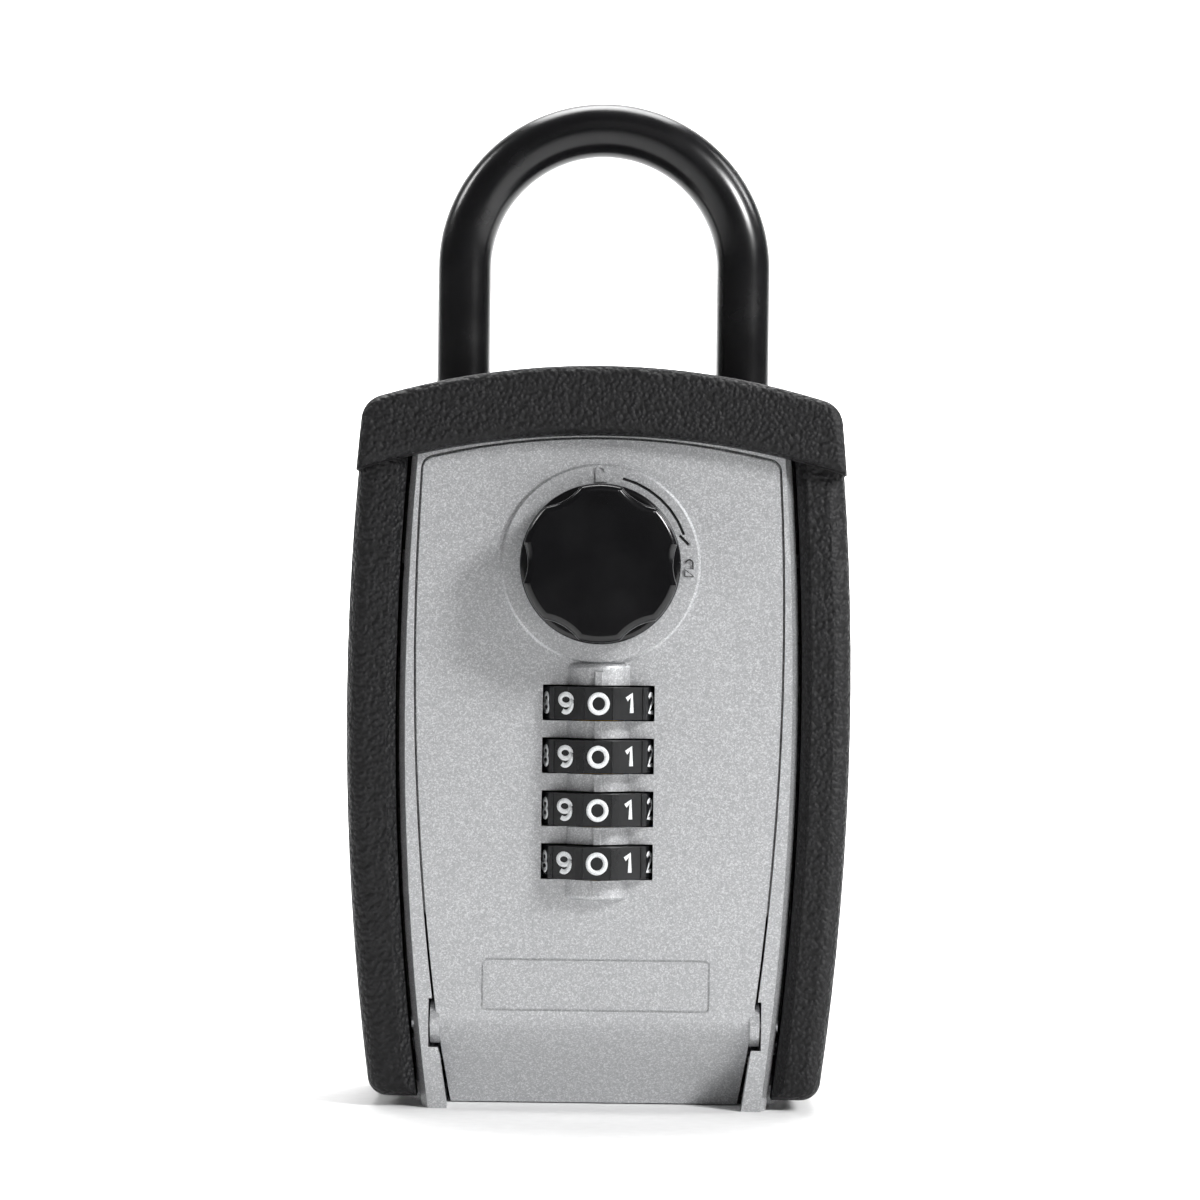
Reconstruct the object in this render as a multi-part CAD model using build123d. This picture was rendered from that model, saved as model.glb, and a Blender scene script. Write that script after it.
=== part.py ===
"""Key safe on a padlock shackle: a small lockable box that hangs from a bar and holds keys.

Millimetres. +Z up, the door faces -Y, the origin is on the ground under the middle of the body.
Each function returns one separate piece; the last block writes them all to parts/.
"""
import os
from math import cos, pi, radians, sin

from build123d import *

os.makedirs("parts", exist_ok=True)

# Clearances
DOOR_GAP = 0.4          # round the door, in the front of the body
RUN = 0.05              # radial play of a pin or shaft that turns
SLIDE = 0.2             # play of flat sliding pieces, each side
CURVE_GAP = 0.3         # between curved faces of two moving pieces

# Depths, front to back
DOOR_FRONT_Y = -13.0
DOOR_T = 2.5
DOOR_BACK_Y = DOOR_FRONT_Y + DOOR_T
HOOD_FRONT_Y = -17.0
RAIL_FRONT_Y = -13.6
SHOULDER_Y = -6.0
PLATE_BACK_Y = 22.0
PLATE_T = 1.5
PLATE_FRONT_Y = PLATE_BACK_Y - PLATE_T
LIP_T = 3.25            # lip of the boot behind the back plate
BOOT_BACK_Y = PLATE_BACK_Y + LIP_T

# Front outlines: half width at bottom, middle and top, then the heights of those and of the apex
BOOT_W, BOOT_Z = (38.2, 43.0, 40.4), (1.8, 68.0, 119.9, 126.3)
HOOD_GROW = 0.15
HOOD_EDGE_Z, HOOD_EDGE_R = 114.6, 140.0
BODY_W, BODY_Z = (34.3, 39.0, 37.0), (0.0, 70.0, 115.0, 121.7)
BODY_CORNER, BODY_FOOT = 4.0, 8.0
NOSE_W, NOSE_Z = (29.3, 34.0, 32.2), (0.0, 66.0, 112.5, 117.0)
DOOR_W, DOOR_Z = (24.6, 31.05, 30.2), (0.2, 70.0, 110.2, 114.0)
WALL_T = 2.6
BOTTOM_T = 2.6
LIP_W = 3.5
WINDOW_GAP = 0.6        # dark line between the boot and the bevelled front
SLOPE_W, SLOPE_D = 1.6, 1.6
REBATE = 1.2
KEEPER_DROP = 4.2
REBATE_FROM_Z = 33.0
NOSE_BEVEL_W, NOSE_BEVEL_D = 2.3, 1.1

# Shackle
LEG_X = 24.4
LEG_Y = 8.5
BAR_R = 4.0
SLEEVE_R = BAR_R + 0.7
BOW_Z = 144.5
HEEL_END_Z = 75.5
TOE_END_Z = 102.0
SLEEVE_END_Z = 120.3
LIFT = 24.0
GUIDE_R = BAR_R + 2.0
GUIDE_END_Z = 104.6
CLIP_Z, CLIP_T, CLIP_R = 79.0, 1.4, BAR_R + 1.6
BOLT_Z = 109.5
BOLT_S = 5.0
BOLT_TRAVEL = 3.0
NOTCH_D = 3.2

# Door hinge
HINGE_Y, HINGE_Z = -9.6, 14.5
PIN_R = 1.5
KNUCKLE_R = PIN_R + 2.25
LUG_R = PIN_R + 1.1      # stays inside the door's sloping foot
KNUCKLE_X0, KNUCKLE_X = 26.4, 28.0
POCKET_R = KNUCKLE_R + 1.6      # clears the door's edges next to the knuckles
SWING_R = 16.4

# Knob and the cam behind it
KNOB_Z = 92.8
RING_R, RING_T = 17.05, 1.0
SKIRT_R = 13.65
KNOB_R = 13.3
KNOB_FRONT_Y = -25.0
SCALLOPS = 6
SCALLOP_R, SCALLOP_D = 9.0, 1.1
SHAFT_R = 3.0
CAM_R, CAM_T = 13.4, 3.0
CAM_BACK_Y = -6.7
TURN = 90.0
LATCH_R0, LATCH_TRAVEL = 9.0, 3.0
BAR_R0, BAR_TRAVEL = 10.5, 1.5
FOLLOW_R = 1.25
SLOT_HALF = FOLLOW_R + 0.2

# Number wheels
WHEELS_Z = (69.2, 60.2, 51.2, 42.2)
WHEEL_Y = -9.6
WHEEL_R, WHEEL_T = 9.8, 5.5
FACET_R = WHEEL_R - 0.45
RIB_W = 1.3
HUB_R, HUB_T = 4.5, 3.2
SPINDLE_R = 2.2
SPINE_R, SPINE_BORE_R = 6.25, HUB_R + 0.4
SPINE_Z0, SPINE_Z1 = 35.7, 75.9
RIDGE_W, RIDGE_H = 1.6, 0.5

# Mechanism plate on the back of the door
MECH_Y0, MECH_T = 1.4, 1.0
MECH_W, MECH_Z0, MECH_Z1 = 37.2, 34.0, 103.6
POST_R = 2.2
POSTS = ((-16.2, 37.0), (16.2, 37.0), (-16.2, 100.8), (16.2, 100.8))


def face_slab(face, y_front, y_back):
    """Extrude an outline drawn in X and Z between two depths."""
    return extrude(Plane.XZ.offset(-y_back) * face, amount=y_back - y_front)


def box(x0, x1, y0, y1, z0, z1):
    centre = ((x0 + x1) / 2, (y0 + y1) / 2, (z0 + z1) / 2)
    return Pos(*centre) * Box(abs(x1 - x0), abs(y1 - y0), abs(z1 - z0))


def rod_x(x0, x1, y, z, r):
    return Pos((x0 + x1) / 2, y, z) * Rot(0, 90, 0) * Cylinder(r, abs(x1 - x0))


def rod_y(x, y0, y1, z, r):
    return Pos(x, (y0 + y1) / 2, z) * Rot(90, 0, 0) * Cylinder(r, y1 - y0)


def rod_z(x, y, z0, z1, r):
    return Pos(x, y, (z0 + z1) / 2) * Cylinder(r, z1 - z0)


def barrel(widths, heights, grow=0.0, top_drop=0.0, corner=0.0, foot=0.0):
    """Outline with bowed sides and an arched top; grow widens it, top_drop lowers the arch."""
    wb, wm, wt = [w + grow for w in widths]
    zb, zm, zt, za = heights
    zb = zb - grow
    zt = zt + grow - top_drop
    za = za + grow - top_drop
    right = ThreePointArc((wb, zb), (wm, zm), (wt, zt))
    top = ThreePointArc((wt, zt), (0, za), (-wt, zt))
    left = ThreePointArc((-wt, zt), (-wm, zm), (-wb, zb))
    face = make_face([right, top, left, Line((-wb, zb), (wb, zb))])
    if corner > 0:
        face = fillet(face.vertices().sort_by(Axis.Y)[-2:], corner)
    if foot > 0:
        face = fillet(face.vertices().sort_by(Axis.Y)[:2], foot)
    return face


def profile_x(points, half_width):
    """Extrude a side profile, given as (y, z) points, to both sides of the middle."""
    face = make_face(Polyline(*points, close=True))
    return extrude(Plane.YZ.offset(-half_width) * face, amount=2 * half_width)


def revolved_half(profile):
    """Turn a profile lying at the right leg half a turn over the bow to the left leg."""
    axis = Axis((0, LEG_Y, BOW_Z), (0, -1, 0))
    return revolve(profile, axis, 180)


def head_screw(x, z, y_head, y_tip, r, head_r, head_t):
    """Pan head screw along Y with its head towards +Y and a cross recess."""
    screw = rod_y(x, y_tip, y_head, z, r) + rod_y(x, y_head, y_head + head_t, z, head_r)
    for size in ((head_r * 1.1, 0.5), (0.5, head_r * 1.1)):
        screw -= Pos(x, y_head + head_t, z) * Box(size[0], head_t, size[1])
    return screw


# ---------------------------------------------------------------- body
def cavity():
    """Room inside the body, from the back of the front frame to the back plate."""
    inner_z = (BOTTOM_T, BODY_Z[1], BODY_Z[2] - WALL_T, BODY_Z[3] - WALL_T)
    inner_w = [w - WALL_T for w in BODY_W]
    inner = barrel(inner_w, inner_z, corner=2.0, foot=BODY_FOOT - WALL_T)
    return face_slab(inner, SHOULDER_Y, PLATE_FRONT_Y)


def body_shell():
    """Die-cast body: bevelled front frame, side walls, guides for the shackle."""
    nose = face_slab(barrel(NOSE_W, NOSE_Z, corner=2.0), DOOR_FRONT_Y, SHOULDER_Y)
    rim = nose.edges().group_by(Axis.Y)[0].filter_by(lambda e: e.center().Z > 1.0)
    nose = chamfer(rim, NOSE_BEVEL_D, NOSE_BEVEL_W, reference=nose.faces().sort_by(Axis.Y)[0])
    outline = barrel(BODY_W, BODY_Z, corner=BODY_CORNER, foot=BODY_FOOT)
    shell = nose + face_slab(outline, SHOULDER_Y, PLATE_FRONT_Y)

    shell -= cavity()

    # The door's opening, then the smaller one behind it that leaves a rebate and the keeper lip
    opening = barrel(DOOR_W, DOOR_Z, grow=DOOR_GAP, corner=2.4)
    shell -= face_slab(opening, DOOR_FRONT_Y - 1, DOOR_BACK_Y + 0.15)
    behind = barrel([w - REBATE for w in DOOR_W], DOOR_Z, top_drop=KEEPER_DROP, corner=2.0)
    shell -= face_slab(behind, DOOR_BACK_Y, SHOULDER_Y + 1)
    low = face_slab(opening, DOOR_BACK_Y, SHOULDER_Y + 1)
    shell -= low & box(-40, 40, -20, 20, -2, REBATE_FROM_Z)

    # Room for the foot of the door as it swings in, and for its knuckles
    floor_w = DOOR_W[0] + 2.2
    shell -= rod_x(-floor_w, floor_w, HINGE_Y, HINGE_Z, SWING_R) & box(-40, 40, -9, 20, -5, 40)
    for side in (-1, 1):
        shell -= rod_x(side * 26, side * (KNUCKLE_X + 0.3), HINGE_Y, HINGE_Z, POCKET_R)
        shell -= rod_x(side * 26, side * 31.2, HINGE_Y, HINGE_Z, PIN_R)

    # Shackle guides hang from the top wall
    for side in (-1, 1):
        guide = rod_z(side * LEG_X, LEG_Y, GUIDE_END_Z, 122, GUIDE_R)
        shell += guide & face_slab(barrel(BODY_W, BODY_Z), SHOULDER_Y, PLATE_FRONT_Y)
    for side in (-1, 1):
        shell -= rod_z(side * LEG_X, LEG_Y, 90, 130, BAR_R + CURVE_GAP)
    half = BOLT_S / 2 + CURVE_GAP
    shell -= box(15, LEG_X - 2, LEG_Y - half, LEG_Y + half, BOLT_Z - half, BOLT_Z + half)

    for x, z in BACK_SCREWS:
        shell += rod_y(x, PLATE_FRONT_Y - BOSS_L, PLATE_FRONT_Y, z, 3.2)
        wall_x = x + 5.0 * x / abs(x)
        shell += box(x, wall_x, PLATE_FRONT_Y - BOSS_L, PLATE_FRONT_Y, z - 1.2, z + 1.2)
        shell -= rod_y(x, PLATE_BACK_Y - BACK_SCREW_L, PLATE_FRONT_Y, z, 1.3)
    for x, y in HOUSING_SCREWS:
        shell -= rod_z(x, y, 110, 119.6, 1.2)
    return shell


BACK_SCREWS = ((-28.4, 8.0), (28.4, 8.0), (-31.0, 94.0), (31.0, 94.0))
BOSS_L = 7.0
BACK_SCREW_L = 7.0
HOUSING_SCREWS = ((-10.5, 15.5), (14.2, 16.4))


def back_plate():
    """Steel plate that closes the body; keys lie against its inside."""
    outline = barrel(BODY_W, BODY_Z, grow=-0.4, corner=BODY_CORNER - 0.4, foot=BODY_FOOT - 0.4)
    plate = face_slab(outline, PLATE_FRONT_Y, PLATE_BACK_Y)
    for x, z in BACK_SCREWS:
        plate -= rod_y(x, PLATE_FRONT_Y - 1, PLATE_BACK_Y + 1, z, 1.5)
    return plate


def back_screws():
    return [
        head_screw(x, z, PLATE_BACK_Y, PLATE_BACK_Y - BACK_SCREW_L, 1.3, 2.6, 1.2)
        for x, z in BACK_SCREWS
    ]


def bumper():
    """Rubber boot round the body: side rails, a proud hood over the top, a lip behind."""
    rails = face_slab(barrel(BOOT_W, BOOT_Z, corner=4.0), RAIL_FRONT_Y, BOOT_BACK_Y)
    bottom = rails.edges().filter_by(Axis.Y).group_by(Axis.Z)[0]
    rails = fillet(bottom, 3.5)
    rails = fillet(rails.edges().group_by(Axis.Y)[0], 3.0)
    rails = fillet(rails.edges().group_by(Axis.Y)[-1], 2.5)

    hood = face_slab(barrel(BOOT_W, BOOT_Z, grow=HOOD_GROW, corner=4.5), HOOD_FRONT_Y, BOOT_BACK_Y)
    hood -= rod_y(0, HOOD_FRONT_Y - 1, BOOT_BACK_Y + 1, HOOD_EDGE_Z - HOOD_EDGE_R, HOOD_EDGE_R)
    hood = hood.solids().sort_by(Axis.Z)[-1]
    hood = fillet(hood.edges().group_by(Axis.Y)[0], 1.8)
    hood = fillet(hood.edges().group_by(Axis.Y)[-1], 2.0)
    boot = rails + hood

    # Pocket for the body, window for its bevelled front, window behind
    pocket = barrel(BODY_W, BODY_Z, corner=BODY_CORNER, foot=BODY_FOOT)
    boot -= face_slab(pocket, SHOULDER_Y, PLATE_BACK_Y)
    window = barrel(NOSE_W, NOSE_Z, grow=WINDOW_GAP, corner=2.0)
    boot -= face_slab(window, RAIL_FRONT_Y - 3.3, SHOULDER_Y) & (
        rod_y(0, -30, 30, HOOD_EDGE_Z - HOOD_EDGE_R, HOOD_EDGE_R)
        + box(-40, 40, RAIL_FRONT_Y + 0.2, 30, -10, 130)
    )
    # The rails slope down to the window along a smooth inner band
    boot -= rail_slope()
    lip = barrel([w - LIP_W for w in BODY_W], BODY_Z, top_drop=LIP_W, corner=3.0, foot=4.5)
    boot -= face_slab(lip, PLATE_BACK_Y, BOOT_BACK_Y + 1)
    for side in (-1, 1):
        boot -= rod_z(side * LEG_X, LEG_Y, 110, 135, SLEEVE_R + 0.4)
    return boot


def rail_slope():
    """Cutter for the smooth slope along the inner edge of each rail, below the hood."""
    wide = barrel(NOSE_W, NOSE_Z, grow=WINDOW_GAP + SLOPE_W)
    narrow = barrel(NOSE_W, NOSE_Z, grow=WINDOW_GAP)
    front = Plane.XZ.offset(-RAIL_FRONT_Y) * wide
    deep = Plane.XZ.offset(-RAIL_FRONT_Y - SLOPE_D) * narrow
    return loft([front, deep]) & rod_y(0, -30, 30, HOOD_EDGE_Z - HOOD_EDGE_R, HOOD_EDGE_R)


def hinge_pins():
    return [
        rod_x(side * 25.0, side * 31.2, HINGE_Y, HINGE_Z, PIN_R)
        for side in (-1, 1)
    ]


# ---------------------------------------------------------------- shackle
def shackle_bar():
    """Steel bar: long heel leg on the left, short toe leg on the right with the bolt's notch."""
    section = Pos(LEG_X, LEG_Y, BOW_Z) * Circle(BAR_R)
    bar = revolved_half(section)
    bar += rod_z(LEG_X, LEG_Y, TOE_END_Z, BOW_Z, BAR_R)
    bar += rod_z(-LEG_X, LEG_Y, HEEL_END_Z, BOW_Z, BAR_R)
    half = BOLT_S / 2 + 0.4
    x0 = LEG_X - BAR_R - 1
    bar -= box(x0, x0 + 1 + NOTCH_D, 0, 20, BOLT_Z - half, BOLT_Z + half)
    ring = rod_z(-LEG_X, LEG_Y, CLIP_Z, CLIP_Z + CLIP_T, BAR_R + 1)
    bar -= ring - rod_z(-LEG_X, LEG_Y, CLIP_Z, CLIP_Z + CLIP_T, BAR_R - 0.8)
    ends = bar.edges().group_by(Axis.Z)[0] + bar.edges().filter_by(
        lambda e: abs(e.center().Z - TOE_END_Z) < 0.01
    )
    return chamfer(ends, 0.8)


def shackle_sleeve():
    """Vinyl sleeve over the part of the bar that shows."""
    section = Pos(LEG_X, LEG_Y, BOW_Z) * (Circle(SLEEVE_R) - Circle(BAR_R))
    sleeve = revolved_half(section)
    for side in (-1, 1):
        tube = rod_z(side * LEG_X, LEG_Y, SLEEVE_END_Z, BOW_Z, SLEEVE_R)
        sleeve += tube - rod_z(side * LEG_X, LEG_Y, SLEEVE_END_Z, BOW_Z, BAR_R)
    return sleeve


def heel_clip():
    """Split ring in the heel leg's groove; it meets the guide when the shackle is up."""
    clip = rod_z(-LEG_X, LEG_Y, CLIP_Z, CLIP_Z + CLIP_T, CLIP_R)
    clip -= rod_z(-LEG_X, LEG_Y, CLIP_Z, CLIP_Z + CLIP_T, BAR_R - 0.8)
    return clip - box(-LEG_X - 2, -LEG_X + 2, LEG_Y, LEG_Y + 8, CLIP_Z, CLIP_Z + CLIP_T)


# ---------------------------------------------------------------- shackle bolt
HOUSE_X0, HOUSE_X1 = -14.0, LEG_X - GUIDE_R - SLIDE
HOUSE_Y0, HOUSE_Y1 = 4.4, 19.6
HOUSE_Z0, HOUSE_Z1 = 104.0, 116.6
TAB_X, TAB_W = 7.0, 4.0
BOLT_X0, BOLT_X1 = 1.0, 19.3
SPRING_X0 = -11.5


def bolt_housing():
    """Moulded housing for the shackle bolt, screwed up against the top wall."""
    house = box(HOUSE_X0, HOUSE_X1, HOUSE_Y0, HOUSE_Y1, HOUSE_Z0, HOUSE_Z1)
    half = BOLT_S / 2 + SLIDE
    house -= box(BOLT_X0 - 0.5, HOUSE_X1, LEG_Y - half, LEG_Y + half, BOLT_Z - half, BOLT_Z + half)
    house -= rod_x(SPRING_X0, BOLT_X0, LEG_Y, BOLT_Z, 2.4)
    reach = TAB_X + TAB_W + BOLT_TRAVEL + SLIDE
    house -= box(TAB_X - SLIDE, reach, LEG_Y - 1.7, LEG_Y + 1.7, HOUSE_Z0 - 1, BOLT_Z)
    for x, y in HOUSING_SCREWS:
        house -= rod_z(x, y, HOUSE_Z0 - 1, HOUSE_Z1 + 1, 1.4)
        boss = rod_z(x, y, HOUSE_Z1 - 0.1, 122, 2.8) & Pos(0, 0, -RUN) * cavity()
        house += boss - rod_z(x, y, 100, 122, 1.4)
    return house


def housing_screws():
    screws = []
    for x, y in HOUSING_SCREWS:
        screw = rod_z(x, y, HOUSE_Z0 - 1.4, HOUSE_Z0, 2.5) + rod_z(x, y, HOUSE_Z0, 119.4, 1.2)
        screw -= Pos(x, y, HOUSE_Z0 - 1.4) * Box(2.8, 0.5, 1.4)
        screw -= Pos(x, y, HOUSE_Z0 - 1.4) * Box(0.5, 2.8, 1.4)
        screws.append(screw)
    return screws


def shackle_bolt():
    """Square bolt that slides into the toe leg's notch, bevelled at the tip."""
    half = BOLT_S / 2
    bolt = box(BOLT_X0, BOLT_X1, LEG_Y - half, LEG_Y + half, BOLT_Z - half, BOLT_Z + half)
    tip = bolt.edges().group_by(Axis.X)[-1].group_by(Axis.Z)[-1]
    bolt = chamfer(tip, 1.6)
    return bolt - rod_x(BOLT_X0, BOLT_X0 + 3, LEG_Y, BOLT_Z, 1.6)


def release_tab():
    """Thumb tab under the bolt, reached from inside the open door."""
    half = BOLT_S / 2
    stem = box(TAB_X, TAB_X + TAB_W, LEG_Y - 1.5, LEG_Y + 1.5, HOUSE_Z0 - 0.8, BOLT_Z - half)
    pad = box(TAB_X - 2.5, TAB_X + TAB_W + 2.5, LEG_Y - 3, LEG_Y + 5, HOUSE_Z0 - 3.4, HOUSE_Z0 - 0.6)
    tab = stem + fillet(pad.edges().filter_by(Axis.Z), 1.0)
    for i in range(3):
        x = TAB_X - 0.2 + i * 2.0
        tab -= box(x, x + 0.7, LEG_Y - 4, LEG_Y + 6, HOUSE_Z0 - 3.5, HOUSE_Z0 - 3.0)
    return tab


def coil(axis_plane, length, coil_r, wire_r, turns):
    """Compression spring along the plane's normal."""
    path = Helix(length / turns, length, coil_r)
    start = Plane(origin=path @ 0, z_dir=path % 0)
    return axis_plane * sweep(start * Circle(wire_r), path=path, is_frenet=True)


def bolt_spring():
    seat = BOLT_X0 + 2.6
    plane = Plane(origin=(SPRING_X0 + 0.6, LEG_Y, BOLT_Z), z_dir=(1, 0, 0))
    return coil(plane, seat - SPRING_X0 - 0.9, 1.2, 0.25, 10)


# ---------------------------------------------------------------- door
def door_profile():
    """Side profile of the door: flat, rounded over at the foot, then sloping back to the ground."""
    f, b = DOOR_FRONT_Y, DOOR_BACK_Y
    slab = profile_x([(f, 116), (f, 15.0), (-4.2, 0.2), (-1.4, 0.9), (b, 15.6), (b, 116)], 34)
    bend = slab.edges().filter_by(Axis.X).filter_by(
        lambda e: abs(e.center().Z - 15.0) < 0.1 and abs(e.center().Y - f) < 0.1
    )
    return fillet(bend, 7.0)


def ring_sector(r0, r1, a0, a1, y0, y1):
    """Band round the knob's centre between two angles, counted from +X towards +Z."""
    steps = 24
    angles = [radians(a0 + (a1 - a0) * i / steps) for i in range(steps + 1)]
    outer = [(r1 * cos(a), KNOB_Z + r1 * sin(a)) for a in angles]
    inner = [(r0 * cos(a), KNOB_Z + r0 * sin(a)) for a in reversed(angles)]
    return face_slab(make_face(Polyline(*outer, *inner, close=True)), y0, y1)


def door_marks():
    """Raised marks on the knob ring: a closed and an open padlock sign."""
    y1 = DOOR_FRONT_Y - RING_T + 0.2
    y0 = DOOR_FRONT_Y - RING_T - 0.3
    eye = KNOB_Z + 15.9
    marks = box(-1.0, 1.0, y0, y1, KNOB_Z + SKIRT_R + CURVE_GAP, eye) + rod_y(0, y0, y1, eye, 1.0)
    marks -= rod_y(0, y0 - 1, y1, eye, 0.45)
    free_x, free_z = 15.1, KNOB_Z - 1.2
    marks += box(free_x - 0.9, free_x + 0.9, y0, y1, free_z - 0.8, free_z + 0.5)
    hook = rod_y(free_x, y0, y1, free_z + 1.5, 0.8) - rod_y(free_x, y0 - 1, y1 + 1, free_z + 1.5, 0.4)
    hook = hook & box(free_x - 2, free_x + 2, y0, y1, free_z + 1.5, free_z + 3)
    hook += box(free_x + 0.4, free_x + 0.8, y0, y1, free_z + 0.4, free_z + 1.6)
    return marks + hook


def door_panel():
    """Door: panel, knob ring, spine over the wheels, lugs for the hinge pins, screw posts."""
    outline = face_slab(barrel(DOOR_W, DOOR_Z, corner=2.0), -14, 5)
    door = door_profile() & outline
    for side in (-1, 1):
        lug = rod_x(side * 22, side * (KNUCKLE_X - 0.8), HINGE_Y, HINGE_Z, LUG_R)
        door += lug & outline
        door += rod_x(side * KNUCKLE_X0, side * KNUCKLE_X, HINGE_Y, HINGE_Z, KNUCKLE_R)
    for side in (-1, 1):
        door -= rod_x(side * 24.6, side * 32, HINGE_Y, HINGE_Z, PIN_R + RUN)

    # Knob ring with its engraved turning arrow
    ring = rod_y(0, DOOR_FRONT_Y - RING_T, DOOR_FRONT_Y + 0.5, KNOB_Z, RING_R)
    ring = chamfer(ring.edges().sort_by(Axis.Y)[0], 0.4)
    door += ring
    groove_y = DOOR_FRONT_Y - RING_T + 0.35
    door -= ring_sector(14.75, 15.25, 20, 76, DOOR_FRONT_Y - 3, groove_y)
    door -= arrow_bar((13.4, KNOB_Z + 5.0), (14.9, KNOB_Z + 3.5), groove_y)
    door += door_marks()

    # Spine over the wheels, with the index ridge along its middle
    front = box(-12, 12, -30, DOOR_BACK_Y, 0, 120)
    spine = fillet(rod_z(0, WHEEL_Y, SPINE_Z0, SPINE_Z1, SPINE_R).edges(), 0.8)
    door += spine & front
    ridge = box(-RIDGE_W / 2, RIDGE_W / 2, WHEEL_Y - SPINE_R - RIDGE_H, WHEEL_Y, 36.8, 74.7)
    door += fillet(ridge.edges().group_by(Axis.Y)[0], 0.3) & front
    door -= rod_z(0, WHEEL_Y, WHEELS_Z[-1] - WHEEL_T / 2 - HUB_T - 0.4, 72.35, SPINE_BORE_R)
    for z in WHEELS_Z:
        door -= rod_z(0, WHEEL_Y, z - WHEEL_T / 2 - 0.3, z + WHEEL_T / 2 + 0.3, WHEEL_R + CURVE_GAP)

    # Ears that carry the wheels' spindle
    low = WHEELS_Z[-1] - WHEEL_T / 2 - HUB_T - 0.4
    for z0, z1 in ((low - 2.6, low), (72.35, 75.2)):
        door += box(-4.5, 4.5, DOOR_BACK_Y - 0.5, WHEEL_Y + 4.5, z0, z1)
    door -= rod_z(0, WHEEL_Y, low - 2.0, 74.6, SPINDLE_R)

    # Screw posts, knob hole with its boss, recessed name plate
    for x, z in POSTS:
        door += rod_y(x, DOOR_BACK_Y - 0.5, MECH_Y0, z, POST_R)
        door -= rod_y(x, MECH_Y0 - 7, MECH_Y0 + 1, z, 1.0)
    door -= rod_y(0, -20, 0, KNOB_Z, BUSH_R)
    plate = Pos(0, 21.2) * RectangleRounded(38.9, 9.0, 1.0)
    rim = plate - Pos(0, 21.2) * RectangleRounded(38.1, 8.2, 0.7)
    return door - face_slab(rim, DOOR_FRONT_Y - 1, DOOR_FRONT_Y + 0.3)


BUSH_R = SHAFT_R + 1.6


def arrow_bar(a, b, y_deep):
    """Straight engraved stroke between two points on the knob ring."""
    stroke = Line(a, b)
    face = make_face(offset(stroke, 0.25))
    return face_slab(face, DOOR_FRONT_Y - 3, y_deep)


def knob_bush():
    """Brass bush that lines the door's knob hole."""
    bush = rod_y(0, DOOR_FRONT_Y - RING_T, DOOR_BACK_Y + 0.3, KNOB_Z, BUSH_R)
    return bush - rod_y(0, -20, 0, KNOB_Z, SHAFT_R + RUN)


def mech_plate():
    """Steel plate behind the wheels, with the ears that guide the latch and the locking bar."""
    plate = box(-MECH_W / 2, MECH_W / 2, MECH_Y0, MECH_Y0 + MECH_T, MECH_Z0, MECH_Z1)
    plate = fillet(plate.edges().filter_by(Axis.Y), 2.5)
    for side in (-1, 1):
        x = side * (LATCH_W / 2 + SLIDE + 0.9)
        plate += box(x - 0.9, x + 0.9, LATCH_Y0 + 0.1, MECH_Y0, 95.5, 102.5)
    plate += box(-5, 5, LATCH_Y0, MECH_Y0, SHELF_Z - 1.0, SHELF_Z)
    plate -= rod_y(0, 0, 5, KNOB_Z, SHAFT_R + 0.5)
    plate -= box(RESET_X - 1.4, RESET_X + 1.4, 0, 5, RESET_Z - 1.7, RESET_Z + 1.7 + RESET_TRAVEL)
    for x, z in POSTS:
        plate -= rod_y(x, 0, 5, z, 1.2)
    return plate


def mech_screws():
    return [
        head_screw(x, z, MECH_Y0 + MECH_T, MECH_Y0 - 6.5, 1.0, 1.9, 0.9)
        for x, z in POSTS
    ]


def wheel_spindle():
    low = WHEELS_Z[-1] - WHEEL_T / 2 - HUB_T - 0.4
    return chamfer(rod_z(0, WHEEL_Y, low - 2.0, 74.6, SPINDLE_R).edges(), 0.3)


def detent_leaf():
    """Spring steel leaf with one finger behind each wheel."""
    leaf = box(-2.5, 8.6, MECH_Y0 - 0.35, MECH_Y0, 38.5, 73.0)
    for z in WHEELS_Z[:-1]:
        leaf -= box(-3, 5.6, -2, 3, z - 5.6, z - 3.4)
    for z in WHEELS_Z:
        leaf += rod_z(-0.6, MECH_Y0 - 0.35, z - 1.6, z + 1.6, 0.6)
    return leaf & box(-20, 20, -2, MECH_Y0, 0, 100)


LATCH_W = 14.0
LATCH_Y0, LATCH_Y1 = -6.4, -3.9
LATCH_Z0, LATCH_Z1 = 82.2, 109.1
SHELF_Z = 76.4


def latch_plate():
    """Sliding latch; its bevelled head goes up behind the keeper lip in the body."""
    latch = box(-LATCH_W / 2, LATCH_W / 2, LATCH_Y0, LATCH_Y1, LATCH_Z0, LATCH_Z1)
    latch = chamfer(latch.edges().filter_by(Axis.X).group_by(Axis.Z)[-1].sort_by(Axis.Y)[0], 1.5)
    hole = rod_y(0, -10, 0, KNOB_Z, SHAFT_R + 0.3)
    hole += rod_y(0, -10, 0, KNOB_Z + LATCH_TRAVEL, SHAFT_R + 0.3)
    hole += box(-SHAFT_R - 0.3, SHAFT_R + 0.3, -10, 0, KNOB_Z, KNOB_Z + LATCH_TRAVEL)
    latch -= hole
    for side in (-1, 1):
        latch -= box(side * 5.2, side * 9, -10, 0, LATCH_Z0 - 1, LATCH_Z0 + 5)
    return latch - rod_y(0, -10, 0, KNOB_Z + LATCH_R0, FOLLOW_R)


def latch_pin():
    return rod_y(0, CAM_BACK_Y - CAM_T + 0.4, LATCH_Y1, KNOB_Z + LATCH_R0, FOLLOW_R)


def latch_spring():
    """Spring that pushes the latch up, from a shelf of the mechanism plate."""
    wire_r = 0.2
    start = SHELF_Z + wire_r + RUN
    plane = Plane(origin=(0, (LATCH_Y0 + LATCH_Y1) / 2, start), z_dir=(0, 0, 1))
    return coil(plane, LATCH_Z0 - wire_r - RUN - start, 1.15, wire_r, 3)


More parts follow.
